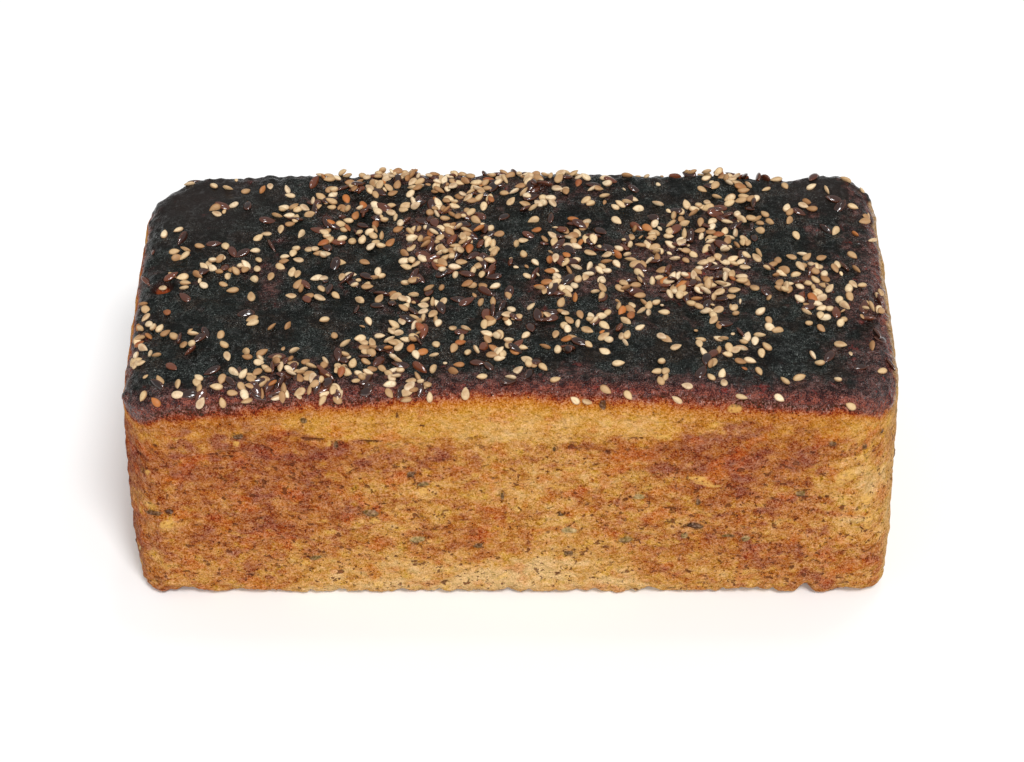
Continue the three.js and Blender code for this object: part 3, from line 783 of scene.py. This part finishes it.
class Graph:
    """A material and short ways to add nodes to it."""

    def __init__(self, name):
        self.material = bpy.data.materials.new(name)
        self.material.use_nodes = True
        self.tree = self.material.node_tree
        self.shader = self.tree.nodes["Principled BSDF"]
        self.place = self.node("ShaderNodeTexCoord", {}).outputs["Object"]

    def node(self, kind, inputs, **settings):
        """A node with some of its inputs, by name or place, set to values or linked to other nodes."""
        made = self.tree.nodes.new(kind)
        for key, value in settings.items():
            setattr(made, key, value)
        self.feed(made, inputs)
        return made

    def feed(self, node, inputs):
        for socket, value in inputs.items():
            if isinstance(value, bpy.types.NodeSocket):
                self.tree.links.new(value, node.inputs[socket])
            else:
                node.inputs[socket].default_value = value

    def finish(self, inputs):
        """Feeds the shader and gives the material."""
        self.feed(self.shader, inputs)
        return self.material

    def math(self, operation, first, second=0.0, clamp=False):
        inputs = {0: first, 1: second}
        return self.node("ShaderNodeMath", inputs, operation=operation, use_clamp=clamp).outputs[0]

    def add(self, *terms):
        total = terms[0]
        for term in terms[1:]:
            total = self.math("ADD", total, term)
        return total

    def times(self, *factors):
        product = factors[0]
        for factor in factors[1:]:
            product = self.math("MULTIPLY", product, factor)
        return product

    def rest(self, value):
        """What is left of 1."""
        return self.math("SUBTRACT", 1.0, value)

    def around_zero(self, value, spread):
        """A number from 0 to 1 turned into one from -spread/2 to spread/2."""
        return self.times(self.math("SUBTRACT", value, 0.5), spread)

    def step(self, value, low, high):
        """0 below low, 1 above high, and a smooth change between. Falls instead where low is above high."""
        start, end = (0.0, 1.0) if low < high else (1.0, 0.0)
        inputs = {"Value": value, "From Min": min(low, high), "From Max": max(low, high)}
        inputs.update({"To Min": start, "To Max": end})
        return self.node("ShaderNodeMapRange", inputs, interpolation_type="SMOOTHSTEP").outputs["Result"]

    def mix(self, share, first, second):
        inputs = {0: share, MIX_FIRST: first, MIX_SECOND: second}
        return self.node("ShaderNodeMix", inputs, data_type="RGBA").outputs[MIX_RESULT]

    def toward(self, tone, share, colour):
        """The colour with that share of a tone in it."""
        return self.mix(share, colour, from_srgb(*tone))

    def ramp(self, value, stops):
        """A colour for each value, by (value, colour) stops from low to high."""
        made = self.node("ShaderNodeValToRGB", {0: value})
        elements = made.color_ramp.elements
        while len(elements) < len(stops):
            elements.new(0.5)
        for element, (at, colour) in zip(elements, stops):
            element.position = at
            element.color = from_srgb(*colour)
        return made.outputs["Color"]

    def vector(self, operation, *values):
        return self.node("ShaderNodeVectorMath", dict(enumerate(values)), operation=operation).outputs[0]

    def scaled(self, value, factor):
        """A vector or colour times a number."""
        return self.node("ShaderNodeVectorMath", {0: value, "Scale": factor}, operation="SCALE").outputs[0]

    def lighten(self, colour, amount):
        """The colour made lighter, or darker below 0, by steps that leave it as vivid as it was."""
        for operation, step in (("MAXIMUM", LIGHTER), ("MINIMUM", DARKER)):
            colour = self.vector("MULTIPLY_ADD", self.math(operation, amount, 0.0), step, colour)
        return self.vector("MAXIMUM", colour, DARKEST)

    def texture(self, kind, cell, place, **settings):
        return self.node(kind, {"Vector": place, "Scale": 1 / (cell * MM), **settings})

    def noise(self, cell, detail=2.0, flat=1.0):
        """Noise from 0 to 1 with features about cell millimetres wide, and flatter than that by a factor."""
        place = self.vector("MULTIPLY", self.place, (1, 1, flat))
        return self.texture("ShaderNodeTexNoise", cell, place, Detail=detail).outputs["Fac"]

    def ripple(self, spread, cell, detail=2.0, flat=1.0):
        """Noise from -spread/2 to spread/2."""
        return self.around_zero(self.noise(cell, detail, flat), spread)

    def spots(self, low, high, cell, detail=2.0, flat=1.0):
        """Ragged spots: 0 where the noise is below low, 1 where it is above high."""
        return self.step(self.noise(cell, detail, flat), low, high)

    def wandering(self, cell, millimetres):
        """The place, shifted to and fro by up to about half that many millimetres."""
        wander = self.texture("ShaderNodeTexNoise", cell, self.place)
        return self.vector("ADD", self.place, self.scaled(wander.outputs["Color"], millimetres * MM))

    def cells(self, cell, place=None):
        """Scattered points about cell millimetres apart: the distance to the nearest, and a chance for it."""
        made = self.texture("ShaderNodeTexVoronoi", cell, place or self.place)
        chance = self.node("ShaderNodeSeparateColor", {0: made.outputs["Color"]})
        return made.outputs["Distance"], chance.outputs[0]

    def mark(self, name):
        return self.node("ShaderNodeAttribute", {}, attribute_name=name).outputs["Fac"]

    def bump(self, height, millimetres):
        """A bump of that many millimetres for a height of 1."""
        inputs = {"Strength": 1.0, "Distance": millimetres * MM, "Height": height}
        return self.node("ShaderNodeBump", inputs).outputs["Normal"]


def crumb_pits(g):
    """The ragged pits of the crumb, from 0 to 1: fewest under the crust."""
    open_crumb = g.add(0.3, g.times(g.step(g.mark("edge"), 8, 24), 0.7))
    clustered = g.spots(0.4, 0.6, 9)
    small = g.times(g.spots(0.63, 0.68, 1.2, 3), g.add(0.4, g.times(clustered, 0.6)))
    wide = g.spots(0.64, 0.71, 2.4, 3.5, flat=1.2)
    return g.times(g.math("MAXIMUM", small, wide), open_crumb)


def speckle(g, contrast):
    """Fine light and dark grains of the crumb, with painted highlights on the crumbs' edges and painted shade
    in its pores, in steps of lightness about 0.
    """
    clumps = g.ripple(1.3, 2.4, 3, flat=1.3)
    coarse = g.ripple(1.5, 0.9, 3)
    crumbs = g.around_zero(g.cells(0.5)[1], 0.7)
    fine = g.ripple(3.0, 0.32)
    # painted highlights: light specks on the edges of the crumbs
    glints = g.times(g.spots(0.6, 0.72, 0.7, 1), 0.5)
    # painted shade: dark specks in the pores
    pore_shade = g.times(g.spots(0.66, 0.74, 0.55, 1), -1.1)
    return g.times(g.add(clumps, coarse, crumbs, fine, glints, pore_shade), contrast)


def side_colour(g, pits):
    """The baked sides: pale gold to red-brown, mottled with orange, purple and yellow, with painted shade in
    the pits.
    """
    bake = g.add(g.mark("bake"), g.ripple(0.75, 3.2, flat=1.2))
    colour = g.ramp(bake, (
        (0.0, (212, 172, 114)),
        (0.25, (197, 144, 74)),
        (0.5, (175, 109, 50)),
        (0.75, (148, 80, 35)),
        (1.0, (112, 50, 24)),
    ))
    golden = g.step(g.mark("edge"), 17, 8)
    colour = g.toward(GOLDEN, g.times(golden, g.step(bake, 0.8, 0.3), 0.5), colour)
    purple = g.times(g.spots(0.48, 0.62, 6.5, 2.5, flat=1.4), g.step(bake, 0.3, 0.65))
    colour = g.toward(PURPLE, g.times(purple, 0.5), colour)
    orange = g.spots(0.53, 0.66, 8, 2.5, flat=1.2)
    colour = g.toward(ORANGE, g.times(orange, 0.42), colour)
    yellow = g.times(g.spots(0.55, 0.68, 3.8, 2.5, flat=1.3), g.step(bake, 0.75, 0.3))
    colour = g.toward(YELLOW, g.times(yellow, 0.45), colour)
    colour = g.toward(RIGHT_END_TAN, g.times(right_end(g), 0.6), colour)
    # Crumb varies more where it is open, low down, and where it is pale.
    open_crumb = g.times(g.step(g.mark("edge"), 14, 34), 0.14)
    pale_crumb = g.times(g.step(g.mark("bake"), 0.9, 0.3), 0.22)
    colour = g.lighten(colour, speckle(g, g.add(0.77, open_crumb, pale_crumb)))
    # painted shade: the pits darkened towards red-brown
    return g.toward(PIT_SHADE_BROWN, g.times(pits, 0.85), colour)


def right_end(g):
    """Where the pale right end is, from 0 to 1."""
    return g.step(g.mark("right"), 0.7, 1.0)


def with_spots(g, colour):
    """The sides with what is baked into them: blue-black, olive or pale grains and husks, and painted shade
    in the nicks, the grooves round the grains and the cracks.
    """
    grain = g.ramp(g.add(g.mark("pale"), g.ripple(0.7, 1.3, 3)), (
        (0.0, (40, 30, 32)),
        (0.3, (90, 66, 44)),
        (0.6, (140, 116, 72)),
        (1.0, (204, 180, 126)),
    ))
    grain = g.lighten(grain, g.ripple(4, 0.7))
    colour = g.mix(g.times(g.step(g.mark("grain"), 0.15, 0.75), 0.85), colour, grain)
    husk = g.times(g.step(g.mark("husk"), 0.15, 0.75), g.spots(0.32, 0.52, 1.0, 3), 0.7)
    colour = g.toward(HUSK_GOLD, husk, colour)
    # painted shade in the nicks, grooves and cracks
    ragged = g.add(g.mark("dark"), g.ripple(1.8, 1.2, 3))
    crevice_shade = g.times(g.step(g.mark("dark"), 0.05, 0.3), g.step(ragged, 0.3, 0.8), 0.85)
    return g.toward(CREVICE_SHADE_BROWN, crevice_shade, colour)


def under_crust(g, edge):
    """Under the crust a red-brown line turns to orange, then to gold, sooner where the side is pale."""
    sooner = g.around_zero(g.mark("bake"), -4.5)
    line = g.ramp(g.math("DIVIDE", g.add(edge, 3.0, sooner), 10.0, clamp=True), (
        (0.0, (84, 34, 28)),
        (0.15, (104, 38, 22)),
        (0.28, (134, 56, 14)),
        (0.4, (158, 82, 16)),
        (0.55, (181, 110, 33)),
        (1.0, (202, 143, 64)),
    ))
    line = g.toward(RIGHT_END_LINE, g.times(right_end(g), 0.8), line)
    return g.lighten(line, speckle(g, 1.15))


def roughened(g):
    """How much the crust is rough and carries painted glints, from 1 down to little on its smooth corners."""
    return g.rest(g.times(g.mark("smooth"), 0.85))


def char_lumps(g):
    """The small lumps of the charred crust, from 0 in the hollows to 1 on top."""
    return g.spots(0.3, 0.7, 1.3, 3)


def char_colour(g, lumps, glaze):
    """The charred top: green-black to purple-brown, with painted light and shade on its lumps and low
    undulations, and painted sparkle and glints.
    """
    rough = roughened(g)
    where = g.spots(0.4, 0.62, 7)
    # painted sparkle: fine specks of highlight on the crust
    sparkle_specks = g.ripple(3.2, 0.3)
    # painted shade and light: darker in the hollows between the lumps, lighter on their tops
    fine = g.add(0.28, g.times(lumps, 0.2), g.times(sparkle_specks, g.add(0.55, g.times(where, 0.7))))
    cool_char = g.ramp(fine, ((0.1, (3, 4, 3)), (0.5, (17, 21, 18)), (0.95, (57, 64, 61))))
    warm_char = g.ramp(fine, ((0.1, (4, 2, 1)), (0.5, (27, 21, 16)), (0.95, (70, 58, 48))))
    char = g.mix(g.spots(0.45, 0.62, 6, 3), cool_char, warm_char)
    # painted light and shade of the top's low undulations
    undulation_shading = g.add(g.ripple(1.7, 3.6), g.ripple(1.8, 13))
    char = g.scaled(char, g.math("MAXIMUM", g.add(undulation_shading, 0.92), 0.2))
    char = g.toward(SMOOTH_CHAR, g.times(g.mark("smooth"), 0.85), char)

    # the glaze gets the painted sparkle too
    mottle = g.add(0.5, g.ripple(1.8, 2.0, 3), g.times(sparkle_specks, rough, 0.8))
    glazed = g.ramp(mottle, ((0.1, (22, 11, 12)), (0.5, (53, 30, 28)), (0.9, (112, 76, 70))))
    # Nearest the side the glaze turns from purple to red-brown, and here and there to red.
    reddened = g.ramp(mottle, ((0.1, (42, 15, 18)), (0.5, (94, 42, 34)), (0.9, (150, 80, 62))))
    glazed = g.mix(g.step(g.mark("edge"), -8, -2.5), glazed, reddened)
    glazed = g.toward(RED_GLAZE, g.times(g.spots(0.64, 0.72, 3.1), 0.5), glazed)
    colour = g.mix(glaze, char, glazed)

    # painted highlights: pale sparkle dots
    painted_sparkle = g.times(g.spots(0.64, 0.8, 0.28, 0), where, rough, 0.5)
    colour = g.toward(SPARKLE_HIGHLIGHT_GREY, painted_sparkle, colour)
    # painted highlights: scattered pale glints
    distance, chance = g.cells(0.45, g.wandering(0.7, 1.0))
    painted_glints = g.times(g.step(distance, 0.36, 0.1), g.math("POWER", chance, 2.5), g.add(0.35, where))
    return g.toward(GLINT_HIGHLIGHT_GREY, g.times(painted_glints, rough, 0.75), colour)


def loaf_finish():
    """Crumb on the sides and charred crust on top, with the ragged line between them."""
    g = Graph("baked_crust")
    edge = g.add(g.mark("edge"), g.ripple(4.5, 3.6, 4))
    glaze = g.step(g.add(g.mark("glaze"), g.ripple(1.5, 3.4, 4)), 0.2, 0.9)
    pits = crumb_pits(g)
    lumps = char_lumps(g)
    colour = g.mix(g.step(edge, -3.2, -1.0), char_colour(g, lumps, glaze), under_crust(g, edge))
    colour = g.mix(g.step(edge, 1.5, 7.5), colour, side_colour(g, pits))
    colour = g.mix(g.step(edge, -1.0, 1.0), colour, with_spots(g, colour))
    # the burst blister: painted shadow on its walls, round the orange-brown crumb at its bottom
    burst = g.ramp(g.mark("hollow"), ((0.0, (30, 16, 12)), (0.6, (40, 18, 12)), (0.9, (132, 58, 26))))
    colour = g.mix(g.step(g.mark("hollow"), 0.0, 0.4), colour, burst)

    on_side = g.step(edge, -0.8, 1.6)
    on_crust = g.rest(on_side)
    rough = g.add(0.4, g.times(on_side, 0.4), g.times(glaze, -0.14), g.ripple(0.3, 1.2))
    wet = g.times(g.step(lumps, 0.5, 0.9), g.spots(0.35, 0.65, 4), 0.7)
    beads = g.times(glaze, g.spots(0.55, 0.7, 0.9, 1), 0.6)

    crumb = g.add(g.times(g.noise(0.8, 3), 1.8), g.times(g.noise(1.9, 3), 3.0), g.times(pits, -1.5))
    rind = g.add(g.times(g.noise(0.7), 1.3), g.times(lumps, g.add(0.6, g.times(glaze, 0.7))))
    height = g.add(g.times(on_side, crumb), g.times(on_crust, g.times(rind, roughened(g))))
    normal = g.bump(height, 0.36)
    return g.finish({
        "Base Color": colour,
        "Roughness": rough,
        "Specular IOR Level": 0.1,
        "Coat Weight": g.times(on_crust, g.add(0.07, wet, beads)),
        "Coat Roughness": 0.16,
        "Normal": normal,
        "Coat Normal": normal,
    })


def sesame_finish():
    """Ivory to tan hulls, some of them toasted, with a browner middle, and a browner rim that is partly their
    own outline and partly painted shade at their edges.
    """
    g = Graph("sesame_hull")
    hull = g.ramp(g.mark("tone"), (
        (0.0, (240, 218, 182)),
        (0.35, (230, 202, 158)),
        (0.6, (210, 178, 132)),
        (0.8, (184, 146, 104)),
        (0.93, (160, 118, 78)),
        (0.97, (196, 118, 56)),
        (1.0, (132, 66, 42)),
    ))
    middle = g.times(g.rest(g.mark("rim")), g.step(g.mark("toast"), 0.5, 0.9))
    hull = g.toward(SESAME_TOAST, g.times(middle, 0.7), hull)
    # the browner rim: partly the hull's own outline, partly painted shade where the seed's edge turns away
    rim_shade_share = g.add(0.35, g.times(g.step(g.mark("toast"), 0.6, 0.1), 0.4))
    outline = g.times(g.step(g.mark("rim"), 0.45, 1.0), rim_shade_share)
    hull = g.toward(SESAME_RIM_AND_SHADE, outline, hull)
    hull = g.toward(SESAME_STAIN, g.times(g.spots(0.45, 0.7, 0.7, 3), 0.35), hull)
    rough = g.add(0.4, g.times(g.noise(0.6), 0.2))
    normal = g.bump(g.noise(0.5), 0.08)
    return g.finish({"Base Color": hull, "Roughness": rough, "Specular IOR Level": 0.3, "Normal": normal})


def linseed_finish():
    """Glossy coats, dark brown to red-brown, lighter at the rim: partly their own amber edge, partly painted
    highlight.
    """
    g = Graph("linseed_coat")
    coat = g.ramp(g.mark("tone"), (
        (0.0, (32, 16, 12)),
        (0.5, (58, 29, 20)),
        (0.8, (90, 46, 30)),
        (1.0, (124, 64, 36)),
    ))
    # lighter rim: partly the seed's amber edge, partly painted highlight
    coat = g.toward(LINSEED_RIM_AND_HIGHLIGHT, g.times(g.step(g.mark("rim"), 0.4, 1.0), 0.45), coat)
    coat = g.toward(LINSEED_SHADE, g.times(g.noise(1.0), 0.4), coat)
    rough = g.add(0.1, g.times(g.noise(0.8), 0.14))
    normal = g.bump(g.noise(1.2, 1), 0.04)
    return g.finish({"Base Color": coat, "Roughness": rough, "Specular IOR Level": 0.9, "Normal": normal})


def dress(piece, material):
    piece.data.materials.append(material)
    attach(piece, "root")


# ---- stage, light and camera: metres
FLOOR_REACH = 3.0
FLOOR_WHITE = (0.94, 0.94, 0.94, 1)
SKY_STRENGTH = 0.42
SUNS = (  # name, from where, width in degrees, brightness
    ("key", (0.2, -0.5, 0.85), 16, 0.62),
    ("fill", (-0.05, -0.77, 0.64), 8, 0.26),
    ("glint", (0.1, 0.25, 0.96), 6, 0.06),
)
PITCH = math.radians(40)
FAR = 0.784  # from the camera to the middle of the front top edge
SENSOR, LENS = 36, 109.3  # millimetres
AIM_LIFT = 0.0038  # the camera looks this far above that edge


def make_floor():
    corners = np.array([[-1, -1, 0], [1, -1, 0], [1, 1, 0], [-1, 1, 0]]) * FLOOR_REACH / MM
    floor = new_mesh("floor", corners, np.array([[0, 1, 2, 3]]), {})
    floor.data.materials.append(Graph("pale_floor").finish({"Base Color": FLOOR_WHITE, "Roughness": 0.9}))


def aim(thing, target):
    away = np.array(thing.location) - np.array(target)
    flat = math.hypot(away[0], away[1])
    thing.rotation_euler = (math.atan2(flat, away[2]), 0, math.atan2(away[0], -away[1]))


def add_sun(name, place, width, brightness):
    """A far light from that direction, which lights what faces it by the given share of full white."""
    lamp = bpy.data.lights.new(name, "SUN")
    lamp.angle = math.radians(width)
    lamp.energy = brightness * math.pi
    light = bpy.data.objects.new(name, lamp)
    light.location = place
    aim(light, (0, 0, 0))
    bpy.context.scene.collection.objects.link(light)


def light_the_stage():
    world = bpy.data.worlds.new("studio")
    world.use_nodes = True
    background = world.node_tree.nodes["Background"]
    background.inputs["Color"].default_value = (1, 1, 1, 1)
    background.inputs["Strength"].default_value = SKY_STRENGTH
    bpy.context.scene.world = world
    for sun in SUNS:
        add_sun(*sun)


def add_camera():
    data = bpy.data.cameras.new("camera")
    data.sensor_width = SENSOR
    data.lens = LENS
    camera = bpy.data.objects.new("camera", data)
    across, high = math.cos(PITCH), math.sin(PITCH)
    edge = (0, -HALF_WIDTH * MM, HEIGHT * MM)
    camera.location = (
        edge[0],
        edge[1] - FAR * across + AIM_LIFT * high,
        edge[2] + FAR * high + AIM_LIFT * across,
    )
    camera.rotation_euler = (math.pi / 2 - PITCH, 0, 0)
    bpy.context.scene.collection.objects.link(camera)
    bpy.context.scene.camera = camera


# ---- the whole scene
def main():
    bpy.context.scene.view_settings.view_transform = "Standard"
    add_camera()
    light_the_stage()
    make_floor()
    loaf, shift = make_loaf()
    dress(loaf, loaf_finish())
    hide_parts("loaf")
    linseed_lying = scatter(LINSEED, [])
    sesame_lying = scatter(SESAME, linseed_lying)
    linseed = make_seeds("linseed", LINSEED, linseed_lying, shift)
    sesame = make_seeds("sesame", SESAME, sesame_lying, shift)
    dress(linseed, linseed_finish())
    dress(sesame, sesame_finish())


main()
